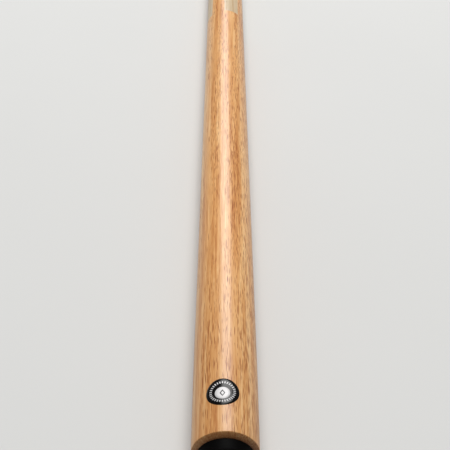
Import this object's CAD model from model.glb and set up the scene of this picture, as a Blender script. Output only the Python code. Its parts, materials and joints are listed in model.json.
"""Looks of the two-piece pool cue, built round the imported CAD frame."""

import json
import math

import bmesh
import bpy
from mathutils import Matrix, Quaternion, Vector, noise


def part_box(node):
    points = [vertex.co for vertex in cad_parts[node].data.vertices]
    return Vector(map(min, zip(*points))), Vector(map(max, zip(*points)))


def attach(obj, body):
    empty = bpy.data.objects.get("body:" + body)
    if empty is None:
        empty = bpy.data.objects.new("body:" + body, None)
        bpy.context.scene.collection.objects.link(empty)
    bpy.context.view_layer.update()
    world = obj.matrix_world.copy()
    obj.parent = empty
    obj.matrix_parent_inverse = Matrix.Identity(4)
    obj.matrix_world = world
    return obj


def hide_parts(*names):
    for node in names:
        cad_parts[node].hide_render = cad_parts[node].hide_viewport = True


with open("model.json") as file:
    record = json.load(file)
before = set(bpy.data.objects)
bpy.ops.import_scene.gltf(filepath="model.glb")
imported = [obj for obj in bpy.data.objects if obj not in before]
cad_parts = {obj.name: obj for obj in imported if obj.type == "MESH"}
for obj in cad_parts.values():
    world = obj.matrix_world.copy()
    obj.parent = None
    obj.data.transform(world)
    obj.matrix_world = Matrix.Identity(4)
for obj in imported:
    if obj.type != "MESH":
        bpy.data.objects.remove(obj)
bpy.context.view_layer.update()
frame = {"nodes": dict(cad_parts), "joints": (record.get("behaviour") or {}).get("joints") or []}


# ---------------------------------------------------------------- the cue's own frame
# Pieces are built in millimetres: x to the right, y along the cue from the end face of the
# butt wood towards the tip, z up. TO_ROW puts them in the row frame.

joint = next(j for j in frame["joints"] if j["name"] == "shaft_turn")
AXIS = Vector(joint["axis"]).normalized()
ON_AXIS = Vector(joint["pos_m"])
SIDE = Vector((1, 0, 0))
UP = SIDE.cross(AXIS)


def along(node):
    """How far along the cue a CAD node begins and ends, in metres from the joint."""
    reach = [(vertex.co - ON_AXIS).dot(AXIS) for vertex in frame["nodes"][node].data.vertices]
    return min(reach), max(reach)


BUTT_WOOD_END = ON_AXIS + AXIS * along("handle")[0]
CUE_TURN = Matrix((SIDE, AXIS, UP)).transposed().to_4x4()
TO_ROW = Matrix.Translation(BUTT_WOOD_END) @ CUE_TURN @ Matrix.Scale(0.001, 4)
TILT = math.atan2(-AXIS.z, AXIS.y)


def span(node):
    """Where a CAD node begins and ends, in millimetres from the end face of the butt wood."""
    start = along("handle")[0]
    return tuple(round((reach - start) * 1000, 3) for reach in along(node))


BUTT_RADIUS = 14.5
JOINT_RADIUS = 10.0
TIP_RADIUS = 4.75
BUTT_PARALLEL_END = 42.0
BUTT_CHAMFER = 2.0
TONGUE_WIDTH = 9.5
TONGUE_ANGLE = 21.0

SPLICE_START = span("forearm")[0]
SPLICE_POINTS = span("handle")[1]
BUTT_COLLAR_START, BUTT_COLLAR_END = span("butt_collar")
SHAFT_COLLAR_START, SHAFT_COLLAR_END = span("shaft_collar")
FERRULE_START, FERRULE_END = span("ferrule")
TIP_END = span("cue_tip")[1]
BUMPER_END = span("bumper")[0]


def butt_radius(y):
    """Outside radius of the butt half."""
    if y <= BUTT_PARALLEL_END:
        return BUTT_RADIUS
    taper = (BUTT_RADIUS - JOINT_RADIUS) / (BUTT_COLLAR_START - BUTT_PARALLEL_END)
    return BUTT_RADIUS - taper * (y - BUTT_PARALLEL_END)


def shaft_radius(y):
    """Outside radius of the shaft's wood."""
    taper = (JOINT_RADIUS - TIP_RADIUS) / (FERRULE_START - SHAFT_COLLAR_END)
    return JOINT_RADIUS - taper * (y - SHAFT_COLLAR_END)


def on_cue(angle, y, radius):
    """A point at an angle in degrees, clockwise from the top as seen from the butt."""
    turn = math.radians(angle)
    return Vector((radius * math.sin(turn), y, radius * math.cos(turn)))


# ---------------------------------------------------------------- mesh helpers

def rounded(corners, steps=4):
    """A closed outline of (y, radius) points from (y, radius, rounding) corners."""
    outline = []
    count = len(corners)
    for index, (y, radius, rounding) in enumerate(corners):
        here = Vector((y, radius))
        if rounding == 0:
            outline.append(here)
            continue
        before = (Vector(corners[index - 1][:2]) - here).normalized()
        after = (Vector(corners[(index + 1) % count][:2]) - here).normalized()
        half = before.angle(after) / 2
        reach = rounding / math.tan(half)
        start, end = here + before * reach, here + after * reach
        centre = here + (before + after).normalized() * (rounding / math.sin(half))
        for step in range(steps + 1):
            blend = step / steps
            arm = (start - centre).lerp(end - centre, blend)
            outline.append(centre + arm.normalized() * rounding)
    return outline


def lathe(outline, segments=96):
    """A bmesh turned about the cue's axis from a closed outline. Points on the axis share a vertex."""
    bm = bmesh.new()
    rings = []
    for y, radius in outline:
        if radius < 1e-6:
            rings.append([bm.verts.new((0, y, 0))])
        else:
            rings.append([bm.verts.new(on_cue(360 * i / segments, y, radius)) for i in range(segments)])
    for index, ring in enumerate(rings):
        following = rings[(index + 1) % len(rings)]
        for i in range(segments):
            j = (i + 1) % segments
            corners = [
                ring[i % len(ring)], ring[j % len(ring)],
                following[j % len(following)], following[i % len(following)],
            ]
            corners = [c for n, c in enumerate(corners) if c not in corners[:n]]
            if len(corners) > 2:
                bm.faces.new(corners)
    bmesh.ops.recalc_face_normals(bm, faces=bm.faces)
    return bm


def strip_grid(bm, rows):
    """Quads between successive rows of points of one length."""
    verts = [[bm.verts.new(point) for point in row] for row in rows]
    for lower, upper in zip(verts, verts[1:]):
        for i in range(len(lower) - 1):
            bm.faces.new((lower[i], lower[i + 1], upper[i + 1], upper[i]))


def finish_piece(name, bm, material, body, slot, *nodes, sharp=32):
    """Turn a bmesh in cue millimetres into a piece that rides on a body and stands for CAD nodes."""
    mesh = bpy.data.meshes.new(name)
    bm.to_mesh(mesh)
    bm.free()
    mesh.transform(TO_ROW)
    mesh.polygons.foreach_set("use_smooth", [True] * len(mesh.polygons))
    mesh.set_sharp_from_angle(angle=math.radians(sharp))
    mesh.materials.append(material)
    piece = bpy.data.objects.new(name, mesh)
    bpy.context.scene.collection.objects.link(piece)
    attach(piece, body)
    if nodes:
        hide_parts(*nodes)
    return piece


def lay_out_wood(bm, lengths, surface_radius):
    """UV layer of a long turned piece: its outside side by side in lengths, its inside in a strip."""
    layer = bm.loops.layers.uv.new("OFBake")
    margin = 0.004
    skin_depth = 0.6
    width = 1 / (len(lengths) - 1)
    for face in bm.faces:
        middle = face.calc_center_median()
        outside = math.hypot(middle.x, middle.z) > surface_radius(middle.y) - skin_depth
        facing = abs(face.normal.y) < 0.9
        middle_turn = math.atan2(middle.x, middle.z)
        column = max(i for i, start in enumerate(lengths[:-1]) if middle.y >= start or i == 0)
        for loop in face.loops:
            co = loop.vert.co
            turn = math.atan2(co.x, co.z)
            turn += 2 * math.pi * round((middle_turn - turn) / (2 * math.pi))
            round_share = (turn / (2 * math.pi) + 0.5) * 0.98 + 0.01
            if outside and facing:
                low, high = lengths[column], lengths[column + 1]
                along_share = (co.y - low) / (high - low)
                loop[layer].uv = (
                    (column + margin + round_share * (1 - 2 * margin)) * width,
                    0.06 + 0.935 * along_share,
                )
            else:
                total = (co.y - lengths[0]) / (lengths[-1] - lengths[0])
                loop[layer].uv = (0.01 + 0.98 * total, 0.005 + 0.04 * round_share)


# ---------------------------------------------------------------- material helpers

class Graph:
    """A material's node tree, with short calls for the nodes used here."""

    def __init__(self, name):
        self.material = bpy.data.materials.new(name)
        self.material.use_nodes = True
        self.tree = self.material.node_tree
        self.shader = self.tree.nodes["Principled BSDF"]

    def node(self, kind, inputs=None, **settings):
        node = self.tree.nodes.new(kind)
        for key, value in settings.items():
            setattr(node, key, value)
        for key, value in (inputs or {}).items():
            self.put(node.inputs[key], value)
        return node

    def put(self, socket, value):
        if isinstance(value, bpy.types.NodeSocket):
            self.tree.links.new(value, socket)
        else:
            socket.default_value = value

    def set(self, **values):
        for key, value in values.items():
            self.put(self.shader.inputs[key.replace("_", " ")], value)

    def math(self, operation, a, b=0.0, clamp=False):
        return self.node("ShaderNodeMath", {0: a, 1: b}, operation=operation, use_clamp=clamp).outputs[0]

    def cue_coordinates(self):
        """Millimetres along and round the cue, at rest."""
        place = Matrix.Rotation(TILT, 3, "X") @ BUTT_WOOD_END * -1000
        where = self.node("ShaderNodeTexCoord").outputs["Object"]
        turned = self.node("ShaderNodeMapping", {"Vector": where, "Location": place})
        turned.inputs["Rotation"].default_value = (TILT, 0, 0)
        turned.inputs["Scale"].default_value = (1000, 1000, 1000)
        return turned.outputs[0]

    def stretched(self, where, scale, offset=(0, 0, 0)):
        mapping = self.node("ShaderNodeMapping", {"Vector": where})
        mapping.inputs["Scale"].default_value = scale
        mapping.inputs["Location"].default_value = offset
        return mapping.outputs[0]

    def noise(self, where, scale=1.0, detail=2.0, roughness=0.5, distortion=0.0):
        inputs = {
            "Vector": where, "Scale": scale, "Detail": detail,
            "Roughness": roughness, "Distortion": distortion,
        }
        return self.node("ShaderNodeTexNoise", inputs).outputs["Fac"]

    def ramp(self, value, *stops):
        """Colours or numbers at stops; numbers become greys."""
        node = self.node("ShaderNodeValToRGB", {"Fac": value})
        elements = node.color_ramp.elements
        while len(elements) < len(stops):
            elements.new(0.5)
        for element, (at, colour) in zip(elements, stops):
            element.position = at
            element.color = (*colour, 1) if isinstance(colour, tuple) else (colour, colour, colour, 1)
        return node.outputs["Color"]

    def mix(self, share, a, b, blend_type="MIX"):
        node = self.node("ShaderNodeMix", data_type="RGBA", blend_type=blend_type)
        for index, value in ((0, share), (6, a), (7, b)):
            if isinstance(value, tuple):
                value = (*value, 1)
            self.put(node.inputs[index], value)
        return node.outputs[2]

    def lerp(self, share, a, b):
        node = self.node("ShaderNodeMix", data_type="FLOAT")
        for index, value in ((0, share), (2, a), (3, b)):
            self.put(node.inputs[index], value)
        return node.outputs[0]

    def bump(self, height, distance, strength=1.0, onto=None):
        """Normals from a height of 0 to 1 that stands for a relief in millimetres."""
        inputs = {"Height": height, "Distance": distance / 1000, "Strength": strength}
        if onto is not None:
            inputs["Normal"] = onto
        return self.node("ShaderNodeBump", inputs).outputs[0]


def srgb(red, green, blue):
    """Linear colour from 8-bit sRGB values."""
    def linear(value):
        value /= 255
        return value / 12.92 if value <= 0.04045 else ((value + 0.055) / 1.055) ** 2.4
    return tuple(linear(value) for value in (red, green, blue))


LACQUER_SPECULAR = 0.15
LACQUER_TINT = (1.0, 0.94, 0.84, 1.0)
LACQUER_ROUGHNESS = 0.22


def lacquer(graph, where, under_roughness, gloss):
    """A thin satin lacquer over wood that the hand has worn a little duller in places."""
    wear = graph.noise(graph.stretched(where, (0.06, 0.012, 0.06)), detail=3, roughness=0.6)
    graph.set(
        Roughness=graph.math("ADD", under_roughness, graph.math("MULTIPLY", wear, 0.10)),
        Specular_IOR_Level=LACQUER_SPECULAR, Coat_Weight=gloss, Coat_IOR=1.5, Coat_Tint=LACQUER_TINT,
        Coat_Roughness=LACQUER_ROUGHNESS,
    )


def hardwood():
    """Open-pored honey-brown hardwood under a satin lacquer, darker on its chamfered end."""
    g = Graph("hardwood")
    where = g.cue_coordinates()
    broad_place = g.stretched(where, (0.13, 0.0036, 0.13), (2.2, 0, 0))
    broad = g.noise(broad_place, detail=2, roughness=0.5, distortion=0.3)
    streaks = g.noise(g.stretched(where, (0.62, 0.010, 0.62), (7, 3, 5)), detail=3, roughness=0.55)
    ribbons = g.noise(g.stretched(where, (1.4, 0.045, 1.4), (3, 8, 1)), detail=2, roughness=0.6)
    fibres = g.noise(g.stretched(where, (3.4, 0.16, 3.4), (2, 9, 4)), detail=2, roughness=0.6)
    tone = g.math("ADD", g.math("MULTIPLY", broad, 0.26), g.math("MULTIPLY", streaks, 0.28))
    tone = g.math("ADD", tone, g.math("MULTIPLY", ribbons, 0.26))
    tone = g.math("ADD", tone, g.math("MULTIPLY", fibres, 0.14))
    colour = g.ramp(
        tone,
        (0.36, srgb(184, 120, 63)),
        (0.43, srgb(209, 151, 92)),
        (0.485, srgb(222, 169, 111)),
        (0.575, srgb(240, 200, 147)),
    )
    lines = g.noise(g.stretched(where, (1.15, 0.055, 1.15), (6, 1, 8)), detail=3, roughness=0.65)
    line_mask = g.math("MULTIPLY", g.ramp(lines, (0.58, 0.0), (0.67, 1.0)), 0.34)
    colour = g.mix(line_mask, colour, srgb(160, 90, 36))

    crowd = g.noise(g.stretched(where, (0.20, 0.010, 0.20), (1, 6, 2)), detail=2)
    place = g.node("ShaderNodeSeparateXYZ", {"Vector": where})
    crowd = g.math("ADD", crowd, g.math("MULTIPLY", place.outputs["X"], 0.012))
    pore_mask = None
    for scale, offset, size, rarity in (
        ((1.90, 0.105, 1.90), (0, 0, 0), 0.38, 0.50),
        ((2.90, 0.17, 2.90), (4.3, 2.1, 7.7), 0.36, 0.62),
        ((1.25, 0.055, 1.25), (9.1, 5.5, 3.2), 0.29, 0.58),
    ):
        pore_place = g.stretched(where, scale, offset)
        cells = g.node("ShaderNodeTexVoronoi", {"Vector": pore_place, "Scale": 1.0})
        chance = g.node("ShaderNodeSeparateColor", {"Color": cells.outputs["Color"]}).outputs["Red"]
        crowding = g.math("MULTIPLY", g.math("SUBTRACT", crowd, 0.5), 3.2)
        present = g.math("GREATER_THAN", g.math("ADD", chance, crowding), rarity)
        pore = g.math("SUBTRACT", 1.0, g.math("DIVIDE", cells.outputs["Distance"], size), clamp=True)
        depth = g.math("MULTIPLY", present, g.lerp(chance, 0.45, 1.0))
        pore = g.math("MULTIPLY", g.ramp(pore, (0.0, 0.0), (0.45, 1.0)), depth)
        pore_mask = pore if pore_mask is None else g.math("MAXIMUM", pore_mask, pore)
    colour = g.mix(g.math("MULTIPLY", pore_mask, 0.92), colour, srgb(136, 64, 12))

    handled = g.ramp(g.math("DIVIDE", place.outputs["Y"], 130.0), (0.15, 1.0), (1.0, 0.0))
    colour = g.mix(handled, colour, (0.86, 0.85, 0.85), "MULTIPLY")
    end_distance = g.math("DIVIDE", place.outputs["Y"], 3.0)
    stain = g.ramp(end_distance, (0.0, 0.94), (0.10, 0.74), (0.60, 0.52), (0.69, 0.0))
    uneven = g.math("ADD", 0.90, g.math("MULTIPLY", place.outputs["X"], 0.010))
    colour = g.mix(g.math("MULTIPLY", stain, uneven), colour, srgb(80, 38, 12))

    gloss = g.lerp(stain, g.lerp(handled, 0.42, 0.32), 0.05)
    g.set(Base_Color=colour)
    lacquer(g, where, g.lerp(pore_mask, 0.36, 0.6), gloss)
    relief = g.math("SUBTRACT", 1.0, g.math("ADD", pore_mask, g.math("MULTIPLY", fibres, 0.25)))
    g.set(Normal=g.bump(relief, 0.05, 0.30))
    g.set(Coat_Normal=g.bump(relief, 0.02, 0.08))
    return g.material


def ash():
    """Pale ash with fine, slightly wandering growth rings and short pores along them."""
    g = Graph("ash")
    where = g.cue_coordinates()
    wander = g.noise(g.stretched(where, (0.02, 0.0045, 0.02), (3, 1, 8)), detail=2)
    place = g.node("ShaderNodeSeparateXYZ", {"Vector": where})
    sideways = g.math("MULTIPLY", place.outputs["X"], 0.83)
    upwards = g.math("MULTIPLY", place.outputs["Z"], 0.56)
    across = g.math("ADD", g.math("ADD", sideways, upwards), g.math("MULTIPLY", wander, 9.0))
    ring = g.math("FRACT", g.math("DIVIDE", g.math("ADD", across, 61.3), 3.1))
    early = g.ramp(ring, (0.0, 0.0), (0.05, 1.0), (0.14, 0.75), (0.30, 0.0))
    fibres = g.noise(g.stretched(where, (3.2, 0.06, 3.2), (5, 2, 6)), detail=3, roughness=0.6)
    broad = g.noise(g.stretched(where, (0.09, 0.003, 0.09), (8, 4, 1)), detail=2)
    tone = g.math("ADD", g.math("MULTIPLY", fibres, 0.5), g.math("MULTIPLY", broad, 0.5))
    colour = g.ramp(
        tone,
        (0.36, srgb(190, 168, 135)),
        (0.52, srgb(204, 184, 154)),
        (0.68, srgb(214, 198, 171)),
    )
    colour = g.mix(g.math("MULTIPLY", early, 0.50), colour, srgb(168, 128, 80))
    cells = g.node(
        "ShaderNodeTexVoronoi", {"Vector": g.stretched(where, (2.0, 0.22, 2.0)), "Scale": 1.0}
    ).outputs["Distance"]
    pores = g.math("SUBTRACT", 1.0, g.math("DIVIDE", cells, 0.26), clamp=True)
    pores = g.math("MULTIPLY", g.ramp(pores, (0.05, 0.0), (0.5, 1.0)), early)
    colour = g.mix(g.math("MULTIPLY", pores, 0.65), colour, srgb(112, 78, 44))
    g.set(Base_Color=colour)
    lacquer(g, where, g.lerp(pores, 0.34, 0.5), 0.15)
    relief = g.math("SUBTRACT", 1.0, g.math("ADD", pores, g.math("MULTIPLY", fibres, 0.25)))
    g.set(Normal=g.bump(relief, 0.04, 0.3))
    return g.material


def brass():
    """Turned brass: fine tool marks round it, and a little tarnish."""
    g = Graph("brass")
    where = g.cue_coordinates()
    tarnish = g.noise(g.stretched(where, (0.5, 0.35, 0.5)), detail=4, roughness=0.65)
    marks = g.noise(g.stretched(where, (0.05, 9.0, 0.05), (1, 4, 3)), detail=3, roughness=0.7)
    colour = g.ramp(
        tarnish,
        (0.36, srgb(211, 171, 102)),
        (0.50, srgb(222, 184, 113)),
        (0.72, srgb(229, 195, 125)),
    )
    g.set(
        Base_Color=colour, Metallic=1.0,
        Roughness=g.math("ADD", 0.18, g.math("MULTIPLY", g.math("ADD", tarnish, marks), 0.07)),
        Normal=g.bump(marks, 0.01, 0.35),
    )
    return g.material


def steel():
    """Zinc-plated steel, faintly mottled."""
    g = Graph("steel")
    where = g.cue_coordinates()
    mottle = g.noise(g.stretched(where, (0.9, 0.9, 0.9)), detail=4, roughness=0.6)
    colour = g.ramp(mottle, (0.35, srgb(150, 152, 156)), (0.65, srgb(192, 194, 198)))
    g.set(Base_Color=colour, Metallic=1.0, Roughness=g.math("ADD", 0.24, g.math("MULTIPLY", mottle, 0.2)))
    g.set(Normal=g.bump(mottle, 0.01, 0.3))
    return g.material


def rubber():
    """Black moulded rubber with a fine dull skin, scuffed grey on its rim."""
    g = Graph("rubber")
    where = g.cue_coordinates()
    skin = g.noise(g.stretched(where, (5, 5, 5)), detail=3, roughness=0.6)
    scuffs = g.noise(g.stretched(where, (0.6, 1.4, 0.6), (2, 2, 2)), detail=5, roughness=0.7)
    along_cue = g.node("ShaderNodeSeparateXYZ", {"Vector": where}).outputs["Y"]
    rim = g.ramp(g.math("DIVIDE", g.math("ADD", along_cue, 8.0), 8.0), (0.0, 1.0), (0.5, 0.0))
    worn = g.math("MULTIPLY", rim, g.ramp(scuffs, (0.48, 0.0), (0.72, 1.0)))
    colour = g.mix(g.math("MULTIPLY", worn, 0.5), (0.0020, 0.0019, 0.0018), (0.026, 0.025, 0.024))
    roughness = g.math("ADD", 0.36, g.math("MULTIPLY", scuffs, 0.22))
    g.set(Base_Color=colour, Roughness=roughness, Specular_IOR_Level=0.015)
    g.set(Normal=g.bump(skin, 0.03, 0.4))
    return g.material


def leather():
    """Cue-tip leather, burnished brown at the side and blue with chalk on the dome."""
    g = Graph("leather")
    where = g.cue_coordinates()
    grain = g.noise(g.stretched(where, (2.2, 2.2, 2.2)), detail=4, roughness=0.65)
    dust = g.noise(g.stretched(where, (0.9, 0.9, 0.9), (3, 8, 5)), detail=5, roughness=0.7)
    along_cue = g.node("ShaderNodeSeparateXYZ", {"Vector": where}).outputs["Y"]
    crown = g.math("DIVIDE", g.math("SUBTRACT", along_cue, TIP_END - 2.6), 2.0)
    patches = g.math("MULTIPLY", g.math("SUBTRACT", dust, 0.5), 1.3)
    chalked = g.ramp(g.math("ADD", crown, patches), (0.3, 0.0), (0.7, 1.0))
    side = g.ramp(grain, (0.3, srgb(58, 38, 26)), (0.7, srgb(96, 66, 44)))
    chalk = g.ramp(grain, (0.3, srgb(38, 84, 122)), (0.7, srgb(84, 130, 164)))
    g.set(Base_Color=g.mix(chalked, side, chalk), Roughness=g.lerp(chalked, 0.5, 0.9))
    g.set(Normal=g.bump(grain, 0.08, 0.6))
    return g.material


def badge_black():
    """Gloss black badge under its clear coat, with a few hairline scratches."""
    g = Graph("badge_black")
    where = g.cue_coordinates()
    scratches = g.noise(g.stretched(where, (0.4, 6, 0.4), (4, 4, 4)), detail=4, roughness=0.7)
    g.set(Base_Color=g.ramp(scratches, (0.4, (0.0012, 0.0010, 0.0009)), (0.8, (0.004, 0.0035, 0.003))))
    g.set(Roughness=g.math("ADD", 0.08, g.math("MULTIPLY", scratches, 0.12)), Specular_IOR_Level=0.16)
    return g.material


def badge_silver():
    """Satin silver foil, brushed across."""
    g = Graph("badge_silver")
    where = g.cue_coordinates()
    brush = g.noise(g.stretched(where, (0.3, 14, 0.3), (4, 4, 4)), detail=3, roughness=0.7)
    g.set(Base_Color=g.ramp(brush, (0.3, srgb(190, 188, 188)), (0.7, srgb(222, 220, 220))))
    roughness = g.math("ADD", 0.42, g.math("MULTIPLY", brush, 0.14))
    g.set(Metallic=0.12, Roughness=roughness, Specular_IOR_Level=0.2)
    return g.material


def dowel_wood():
    """Plain pale wood of the weight's plug, its fibres along the cue."""
    g = Graph("dowel_wood")
    where = g.cue_coordinates()
    fibres = g.noise(g.stretched(where, (2.5, 0.05, 2.5)), detail=3, roughness=0.6)
    colour = g.ramp(fibres, (0.3, srgb(196, 158, 108)), (0.7, srgb(220, 188, 142)))
    g.set(Base_Color=colour, Roughness=0.7)
    g.set(Normal=g.bump(fibres, 0.05, 0.5))
    return g.material


HARDWOOD, ASH, BRASS, STEEL = hardwood(), ash(), brass(), steel()
RUBBER, LEATHER = rubber(), leather()
BADGE_BLACK, BADGE_SILVER = badge_black(), badge_silver()


# ---------------------------------------------------------------- spliced butt

COLUMNS = 18          # across one tongue or one prong
SKIN_THICKNESS = 3.0
SPLICE_STEP, PLAIN_STEP, SHAFT_STEP = 6.0, 9.0, 12.0    # between rings of points along the cue
FOREARM_SEAM = 540.0  # where the forearm's bake is cut into two lengths


def tongue_half_angle(y):
    """Half the angle that an ash tongue takes up on the surface at y."""
    points_width = butt_radius(SPLICE_POINTS) * math.sqrt(2)
    share = min(max((y - SPLICE_START) / (SPLICE_POINTS - SPLICE_START), 0), 1)
    width = TONGUE_WIDTH + (points_width - TONGUE_WIDTH) * share
    radius = butt_radius(max(y, SPLICE_START))
    return min(math.degrees(math.asin(width / 2 / radius)), 45.0)


def band(kind, quarter, y, radius):
    """Points across one tongue or one prong at y."""
    middle = TONGUE_ANGLE + 90 * quarter
    half = tongue_half_angle(y)
    if kind == "tongue":
        start, end = middle - half, middle + half
    else:
        start, end = middle + half, middle + 90 - half
    return [on_cue(start + (end - start) * i / COLUMNS, y, radius) for i in range(COLUMNS + 1)]


def stations(start, end, step):
    """Even steps from start to end, each about one step long."""
    count = max(1, round((end - start) / step))
    return [start + (end - start) * i / count for i in range(count + 1)]


def closed_skin(bm):
    """Join the strips and give the skin its thickness inwards."""
    bmesh.ops.remove_doubles(bm, verts=bm.verts, dist=1e-4)
    bmesh.ops.recalc_face_normals(bm, faces=bm.faces)
    outward = 0.0
    for face in bm.faces:
        middle = face.calc_center_median()
        outward += face.normal.dot(Vector((middle.x, 0, middle.z)))
    if outward < 0:
        bmesh.ops.reverse_faces(bm, faces=bm.faces)
    bmesh.ops.solidify(bm, geom=bm.faces[:], thickness=SKIN_THICKNESS)


def build_handle():
    """The butt wood: chamfered end, taper, and four prongs between the ash tongues."""
    bm = bmesh.new()
    chamfer_foot = BUTT_RADIUS - BUTT_CHAMFER
    end = [
        (0.0, 5.6), (0.0, 9.0), (0.0, chamfer_foot - 0.25), (0.1, chamfer_foot + 0.05),
        (0.5, chamfer_foot + 0.56), (1.0, chamfer_foot + 1.10), (1.5, chamfer_foot + 1.58),
        (1.86, BUTT_RADIUS - 0.10), (2.05, BUTT_RADIUS - 0.02), (2.4, BUTT_RADIUS),
    ]
    body = [(y, butt_radius(y)) for y in stations(6.0, SPLICE_START, PLAIN_STEP)]
    prong = [(y, butt_radius(y)) for y in stations(SPLICE_START, SPLICE_POINTS, SPLICE_STEP)]
    for quarter in range(4):
        for kind in ("tongue", "prong"):
            strip_grid(bm, [band(kind, quarter, y, radius) for y, radius in end + body])
        strip_grid(bm, [band("prong", quarter, y, radius) for y, radius in prong])
    closed_skin(bm)
    middle = min((y for y, _ in body), key=lambda y: abs(y - SPLICE_POINTS / 2))
    lay_out_wood(bm, [0.0, middle, SPLICE_POINTS], butt_radius)
    finish_piece("handle_wood", bm, HARDWOOD, "butt", "hardwood", "handle")


def build_forearm():
    """The ash forearm: four blunt tongues that meet where the prongs run out."""
    bm = bmesh.new()
    tongue = [(y, butt_radius(y)) for y in stations(SPLICE_START, SPLICE_POINTS, SPLICE_STEP)]
    rest = [(y, butt_radius(y)) for y in stations(SPLICE_POINTS, BUTT_COLLAR_START, PLAIN_STEP)]
    for quarter in range(4):
        strip_grid(bm, [band("tongue", quarter, y, radius) for y, radius in tongue + rest[1:]])
    closed_skin(bm)
    lay_out_wood(bm, [SPLICE_START, FOREARM_SEAM, BUTT_COLLAR_START], butt_radius)
    finish_piece("forearm_wood", bm, ASH, "butt", "ash", "forearm")


def build_shaft():
    """The ash shaft, a straight taper from the joint's collar to the ferrule."""
    rows = [(y, shaft_radius(y), 0) for y in stations(SHAFT_COLLAR_END, FERRULE_START, SHAFT_STEP)]
    bm = lathe(rounded([(SHAFT_COLLAR_END, 4.0, 0), *rows, (FERRULE_START, 3.0, 0)]), 72)
    middle = min((y for y, _, _ in rows), key=lambda y: abs(y - (SHAFT_COLLAR_END + FERRULE_START) / 2))
    lay_out_wood(bm, [SHAFT_COLLAR_END, middle, FERRULE_START], shaft_radius)
    finish_piece("shaft_wood", bm, ASH, "shaft", "ash", "shaft")


# ---------------------------------------------------------------- badge

badge_low, badge_high = (Vector(corner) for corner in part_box("badge"))
badge_middle = TO_ROW.inverted() @ ((badge_low + badge_high) / 2)
BADGE_Y = sum(span("badge")) / 2
BADGE_ANGLE = math.degrees(math.atan2(badge_middle.x, badge_middle.z))
BADGE_RADIUS = (span("badge")[1] - span("badge")[0]) / 2
PRINT_SHIFT = -0.7    # the centre of the print sits this far towards the butt's end
DISC_HEIGHT, TICK_HEIGHT, CENTRE_HEIGHT, MARK_HEIGHT = 0.06, 0.07, 0.075, 0.095
RING_INSIDE, RING_OUTSIDE = 4.7, 5.8
RING_TICKS = 30
TICK_HALF_ANGLE = 2.8
CENTRE_RADIUS = 3.3


def wrapped(reach, turn, height, shift=0.0):
    """A point of the badge, by distance and direction from its centre, wrapped on the butt."""
    radius = BUTT_RADIUS + height
    round_cue = reach * math.sin(math.radians(turn)) / BUTT_RADIUS
    y = BADGE_Y + shift + reach * math.cos(math.radians(turn))
    return on_cue(BADGE_ANGLE + math.degrees(round_cue), y, radius)


def badge_patch(bm, inner, outer, start, end, height, steps, rings=4, foot=-0.15, shift=0.0):
    """A closed slab with a soft edge, between two distances and directions from the badge's centre."""
    whole = abs(end - start) >= 360
    soft = 0.05
    reaches = [inner + (outer - inner) * i / rings for i in range(rings + 1)]
    profile = [(inner, foot), *((reach, height) for reach in reaches)]
    profile += [(outer + soft, height - soft), (outer + soft, foot)]
    if inner < 1e-6:
        profile = profile[1:]
        profile.append((0.0, foot))
    turns = [start + (end - start) * i / steps for i in range(steps if whole else steps + 1)]
    grid = []
    for reach, level in profile:
        if reach < 1e-6:
            grid.append([bm.verts.new(wrapped(0, 0, level, shift))] * len(turns))
        else:
            grid.append([bm.verts.new(wrapped(reach, turn, level, shift)) for turn in turns])
    count = len(turns)
    for index, row in enumerate(grid):
        following = grid[(index + 1) % len(grid)]
        for i in range(count if whole else count - 1):
            j = (i + 1) % count
            corners = [row[i], row[j], following[j], following[i]]
            corners = [c for n, c in enumerate(corners) if c not in corners[:n]]
            if len(corners) > 2:
                bm.faces.new(corners)
    if not whole:
        for side in (0, count - 1):
            bm.faces.new([row[side] for row in grid])
    bmesh.ops.recalc_face_normals(bm, faces=bm.faces)


def diamond_outline(bm, tall, wide, stroke, height, steps=6):
    """A closed line of one width round a diamond, wrapped on the badge's face."""
    corners = [Vector((tall, 0)), Vector((0, wide)), Vector((-tall, 0)), Vector((0, -wide))]
    sides = zip(corners, corners[1:] + corners[:1])
    centre_line = [a.lerp(b, i / steps) for a, b in sides for i in range(steps)]
    shrink = 1 - stroke * math.hypot(tall, wide) / (tall * wide)
    loops = []
    for share, level in ((1, 0.0), (1, height), (shrink, height), (shrink, 0.0)):
        loop = []
        for point in centre_line:
            turn = math.degrees(math.atan2(point.y, point.x))
            loop.append(bm.verts.new(wrapped(point.length * share, turn, level, PRINT_SHIFT)))
        loops.append(loop)
    for index, loop in enumerate(loops):
        following = loops[(index + 1) % 4]
        for i in range(len(loop)):
            j = (i + 1) % len(loop)
            bm.faces.new((loop[i], loop[j], following[j], following[i]))
    bmesh.ops.recalc_face_normals(bm, faces=bm.faces)


def build_badge():
    """Black badge with an even ring of silver ticks round a silver centre that holds a small diamond."""
    bm = bmesh.new()
    badge_patch(bm, 0, BADGE_RADIUS - 0.1, 0, 360, DISC_HEIGHT, 96, rings=6)
    finish_piece("badge_disc", bm, BADGE_BLACK, "butt", "badge", "badge", sharp=50)

    bm = bmesh.new()
    for i in range(RING_TICKS):
        middle = 360 / RING_TICKS * i
        start, end = middle - TICK_HALF_ANGLE, middle + TICK_HALF_ANGLE
        badge_patch(bm, RING_INSIDE, RING_OUTSIDE, start, end, TICK_HEIGHT, 2, rings=1)
    finish_piece("badge_ring", bm, BADGE_SILVER, "butt", "badge", "badge", sharp=50)

    bm = bmesh.new()
    badge_patch(bm, 0, CENTRE_RADIUS, 0, 360, CENTRE_HEIGHT, 64, rings=3, shift=PRINT_SHIFT)
    finish_piece("badge_centre", bm, BADGE_SILVER, "butt", "badge", "badge", sharp=50)

    bm = bmesh.new()
    diamond_outline(bm, tall=1.85, wide=1.2, stroke=0.4, height=MARK_HEIGHT)
    finish_piece("badge_mark", bm, BADGE_BLACK, "butt", "badge", "badge", sharp=50)


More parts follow.
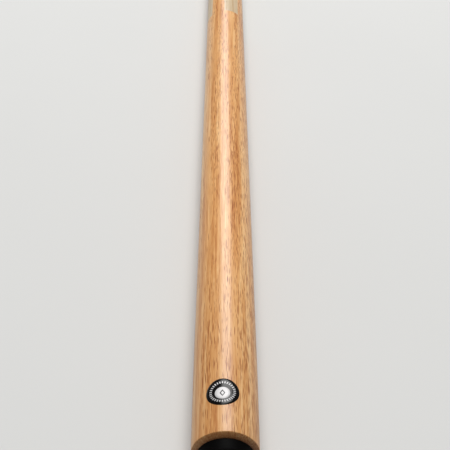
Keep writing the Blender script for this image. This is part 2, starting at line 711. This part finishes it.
# ---------------------------------------------------------------- bumper, joint, ferrule and tip

def build_bumper():
    """Rubber bumper with a rounded rim, a shallow moulded step and the recess for its screw."""
    outline = rounded([
        (-0.02, 2.2, 0), (-0.02, 12.45, 0.12), (-0.55, 12.5, 0.15), (BUMPER_END, 12.5, 3.4),
        (BUMPER_END, 8.2, 0.2), (BUMPER_END + 0.35, 8.0, 0.2), (BUMPER_END + 0.35, 5.5, 0.45),
        (-4.0, 5.5, 0.2), (-4.0, 2.2, 0),
    ], steps=8)
    finish_piece("bumper_rubber", lathe(outline, 128), RUBBER, "butt", "rubber", "bumper")


def build_collar(name, face, direction, body, node):
    """Brass collar: an end wall at face, softened edges and two fine grooves round it."""
    back = face + direction * (BUTT_COLLAR_END - BUTT_COLLAR_START)

    def at(distance, radius, rounding):
        return (face + direction * distance, radius, rounding)

    bore, socket, groove_foot = 5.45, 7.5, JOINT_RADIUS - 0.25
    grooves = []
    for middle in (3.6, 5.0):
        grooves += [at(middle - 0.3, JOINT_RADIUS, 0.06), at(middle - 0.12, groove_foot, 0.04),
                    at(middle + 0.12, groove_foot, 0.04), at(middle + 0.3, JOINT_RADIUS, 0.06)]
    outline = rounded([
        at(0, bore, 0.12), at(0, JOINT_RADIUS, 0.25), *grooves, (back, JOINT_RADIUS, 0.12),
        (back, socket, 0), at(3.0, socket, 0), at(3.0, bore, 0),
    ], steps=3)
    finish_piece(name, lathe(outline, 128), BRASS, body, "brass", node)


PITCH = 1.25
THREAD_DEPTH = 0.72
THREAD_SEGMENTS = 48
STUD_CREST = 4.0
BUSH_ROOT = 4.05      # 0.05 mm clear of the stud's crests
BUSH_RADIUS = 5.45
BUSH_CHAMFER = 0.15


def thread_radius(turn, y, outermost):
    """Radius of a 60-degree right-hand thread with flattened crests and roots."""
    phase = (y / PITCH - turn / (2 * math.pi)) % 1
    flank = abs(phase - 0.5) * 2
    return outermost - THREAD_DEPTH * min(max((flank - 0.12) / 0.7, 0), 1)


def threaded_wall(start, end, outermost, chamfer_length, rows_per_turn=10):
    """Rows of points down a threaded wall, chamfered at 45 degrees over a length at each end."""
    rows = []
    count = round((end - start) / PITCH * rows_per_turn)
    for n in range(count + 1):
        y = start + (end - start) * n / count
        chamfer = max(0.0, chamfer_length - (y - start), chamfer_length - (end - y))
        row = []
        for i in range(THREAD_SEGMENTS):
            turn = 2 * math.pi * i / THREAD_SEGMENTS
            radius = min(thread_radius(turn, y, outermost), outermost - chamfer)
            row.append(on_cue(math.degrees(turn), y, radius))
        rows.append(row)
    return rows


def add_rings(bm, rows, closed_ends):
    """Quads between rings of points; each end is closed to a vertex on the axis if asked."""
    rings = [[bm.verts.new(point) for point in row] for row in rows]
    for lower, upper in zip(rings, rings[1:]):
        for i in range(len(lower)):
            j = (i + 1) % len(lower)
            bm.faces.new((lower[i], lower[j], upper[j], upper[i]))
    if closed_ends:
        for ring in (rings[0], rings[-1]):
            centre = bm.verts.new((0, ring[0].co.y, 0))
            for i in range(len(ring)):
                bm.faces.new((ring[i], ring[(i + 1) % len(ring)], centre))
    return rings


def build_stud():
    """Brass stud with the joint's thread, chamfered at both ends."""
    start, end = span("joint_stud")
    bm = bmesh.new()
    add_rings(bm, threaded_wall(start, end, STUD_CREST, 1.0), True)
    bmesh.ops.recalc_face_normals(bm, faces=bm.faces)
    finish_piece("stud_brass", bm, BRASS, "stud", "brass", "joint_stud", sharp=45)


def build_bush(name, body, node):
    """Brass bush with the thread cut in its bore, its outer edges softened."""
    start, end = span(node)
    bm = bmesh.new()
    inside = threaded_wall(start, end, BUSH_ROOT, 0.0)
    outer = [
        [on_cue(360 * i / THREAD_SEGMENTS, y, radius) for i in range(THREAD_SEGMENTS)]
        for y, radius in (
            (end, BUSH_RADIUS - BUSH_CHAMFER), (end - BUSH_CHAMFER, BUSH_RADIUS),
            (start + BUSH_CHAMFER, BUSH_RADIUS), (start, BUSH_RADIUS - BUSH_CHAMFER),
        )
    ]
    rings = add_rings(bm, inside + outer, False)
    for i in range(THREAD_SEGMENTS):
        j = (i + 1) % THREAD_SEGMENTS
        bm.faces.new((rings[-1][i], rings[-1][j], rings[0][j], rings[0][i]))
    bmesh.ops.recalc_face_normals(bm, faces=bm.faces)
    finish_piece(name, bm, BRASS, body, "brass", node, sharp=45)


def build_ferrule():
    """Brass ferrule, open towards the shaft, with one fine groove round it."""
    outline = rounded([
        (FERRULE_START, 3.6, 0), (FERRULE_START, TIP_RADIUS, 0.12),
        (FERRULE_START + 1.2, TIP_RADIUS, 0.05), (FERRULE_START + 1.35, TIP_RADIUS - 0.1, 0.04),
        (FERRULE_START + 1.6, TIP_RADIUS - 0.1, 0.04),
        (FERRULE_START + 1.75, TIP_RADIUS, 0.05), (FERRULE_END, TIP_RADIUS, 0.1),
        (FERRULE_END, 0, 0), (FERRULE_END - 1.5, 0, 0), (FERRULE_END - 1.5, 3.6, 0),
    ], steps=3)
    finish_piece("ferrule_brass", lathe(outline, 96), BRASS, "shaft", "brass", "ferrule")


def build_tip():
    """Domed leather tip, slightly swollen at its side and roughened by play."""
    dome_height = 1.3
    dome_foot = TIP_END - dome_height
    dome_radius = (TIP_RADIUS ** 2 + dome_height ** 2) / (2 * dome_height)
    side_length = dome_foot - FERRULE_END - 0.6
    edge = TIP_RADIUS - 0.12
    outline = [Vector((FERRULE_END, 0)), Vector((FERRULE_END, 4.2)), Vector((FERRULE_END + 0.05, edge))]
    outline += [Vector((FERRULE_END + 0.5 + side_length * i / 8, TIP_RADIUS - 0.03)) for i in range(9)]
    for i in range(1, 15):
        across = edge * (1 - i / 14)
        drop = dome_radius - math.sqrt(dome_radius ** 2 - across ** 2)
        outline.append(Vector((TIP_END - drop, across)))
    bm = lathe(outline, 96)
    for vertex in bm.verts:
        if vertex.co.y > FERRULE_END + 0.4:
            rough = noise.fractal(vertex.co * 1.1, 1.0, 2.0, 4) * 0.035
            vertex.co -= Vector((vertex.co.x * 0.2, 1.0, vertex.co.z * 0.2)) * abs(rough)
    finish_piece("tip_leather", bm, LEATHER, "shaft", "leather", "cue_tip", sharp=60)


build_handle()
build_forearm()
build_shaft()
build_badge()
build_bumper()
build_collar("butt_collar_brass", BUTT_COLLAR_END, -1, "butt", "butt_collar")
build_collar("shaft_collar_brass", SHAFT_COLLAR_START, 1, "shaft", "shaft_collar")
build_stud()
build_bush("butt_bush_brass", "butt", "butt_bush")
build_bush("shaft_bush_brass", "shaft", "shaft_bush")
build_ferrule()
build_tip()

CAD_MATERIALS = {      # for the CAD nodes that no piece replaces
    "bumper_screw": STEEL, "bumper_washer": STEEL, "weight_rod": STEEL, "weight_plug": dowel_wood(),
}
for node, material in CAD_MATERIALS.items():
    solid = frame["nodes"][node]
    solid.data.materials.clear()
    solid.data.materials.append(material)


# ---------------------------------------------------------------- floor, light and camera

FLOOR_HALF_SIDE = 14        # metres
WORLD_STRENGTH = 0.26
SOFTBOX_TWIST = 17.0        # degrees, lays the strip of light a little across the cue
SENSOR_WIDTH, FOCAL_LENGTH = 36, 84
CAMERA_DIP = 39.602         # degrees below the horizontal
CAMERA_SIDE = -0.000164     # metres from the cue's middle
CAMERA_BACK = 0.27674       # metres behind the edge where the chamfer meets the butt's side
CAMERA_HEIGHT = 0.3676      # metres above the table


def floor_material():
    """Plain pale floor, barely mottled."""
    g = Graph("floor")
    where = g.node("ShaderNodeTexCoord").outputs["Object"]
    soft = g.noise(g.stretched(where, (9, 9, 9)), detail=3)
    g.set(Base_Color=g.ramp(soft, (0.3, srgb(205, 205, 203)), (0.7, srgb(206, 206, 204))), Roughness=0.8)
    return g.material


def build_floor():
    """The table's top, a plane under the cue that belongs to the stage."""
    bm = bmesh.new()
    bmesh.ops.create_grid(bm, x_segments=8, y_segments=8, size=FLOOR_HALF_SIDE)
    mesh = bpy.data.meshes.new("floor")
    bm.to_mesh(mesh)
    bm.free()
    mesh.materials.append(floor_material())
    floor = bpy.data.objects.new("floor", mesh)
    bpy.context.scene.collection.objects.link(floor)


def add_panel(name, where, towards, width, height, power, twist):
    """A soft rectangular light at one point facing another, twisted in its plane by some degrees."""
    light = bpy.data.lights.new(name, "AREA")
    light.shape = "RECTANGLE"
    light.size, light.size_y = width, height
    light.energy = power
    panel = bpy.data.objects.new(name, light)
    bpy.context.scene.collection.objects.link(panel)
    panel.location = where
    panel.rotation_mode = "QUATERNION"
    facing = (Vector(towards) - Vector(where)).to_track_quat("-Z", "Y")
    panel.rotation_quaternion = facing @ Quaternion((0, 0, 1), math.radians(twist))


def light_the_room():
    """A faint even surround, two panels that make the strip of light on the cue, and one overhead."""
    world = bpy.data.worlds.new("studio")
    world.use_nodes = True
    background = world.node_tree.nodes["Background"]
    background.inputs["Color"].default_value = (1, 1, 1, 1)
    background.inputs["Strength"].default_value = WORLD_STRENGTH
    bpy.context.scene.world = world
    splice = TO_ROW @ Vector((0, SPLICE_START, 0))
    for name, place, towards, width, height, power, twist in (
        ("softbox", (0.2, 5.0, 4.3), (0.2, 4.0, 0), 3.0, 5.6, 440, SOFTBOX_TWIST),
        ("near_softbox", (0.34, 3.0, 3.7), (0.34, 2.5, 0), 1.5, 1.8, 30, SOFTBOX_TWIST),
        ("overhead", (0, 0.6, 3.4), (0, 0.6, 0), 2.0, 2.0, 37, 0.0),
    ):
        add_panel(name, splice + Vector(place), splice + Vector(towards), width, height, power, twist)


def place_camera():
    """The photo's camera: behind the butt, level across, looking along the cue and down."""
    camera = bpy.data.cameras.new("camera")
    camera.sensor_width = SENSOR_WIDTH
    camera.lens = FOCAL_LENGTH
    eye = bpy.data.objects.new("camera", camera)
    bpy.context.scene.collection.objects.link(eye)
    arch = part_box("handle")[0].y + BUTT_CHAMFER / 1000
    eye.location = (CAMERA_SIDE, arch - CAMERA_BACK, CAMERA_HEIGHT)
    eye.rotation_euler = (math.radians(90 - CAMERA_DIP), 0, 0)
    bpy.context.scene.camera = eye


build_floor()
light_the_room()
place_camera()
bpy.context.scene.view_settings.view_transform = "Standard"
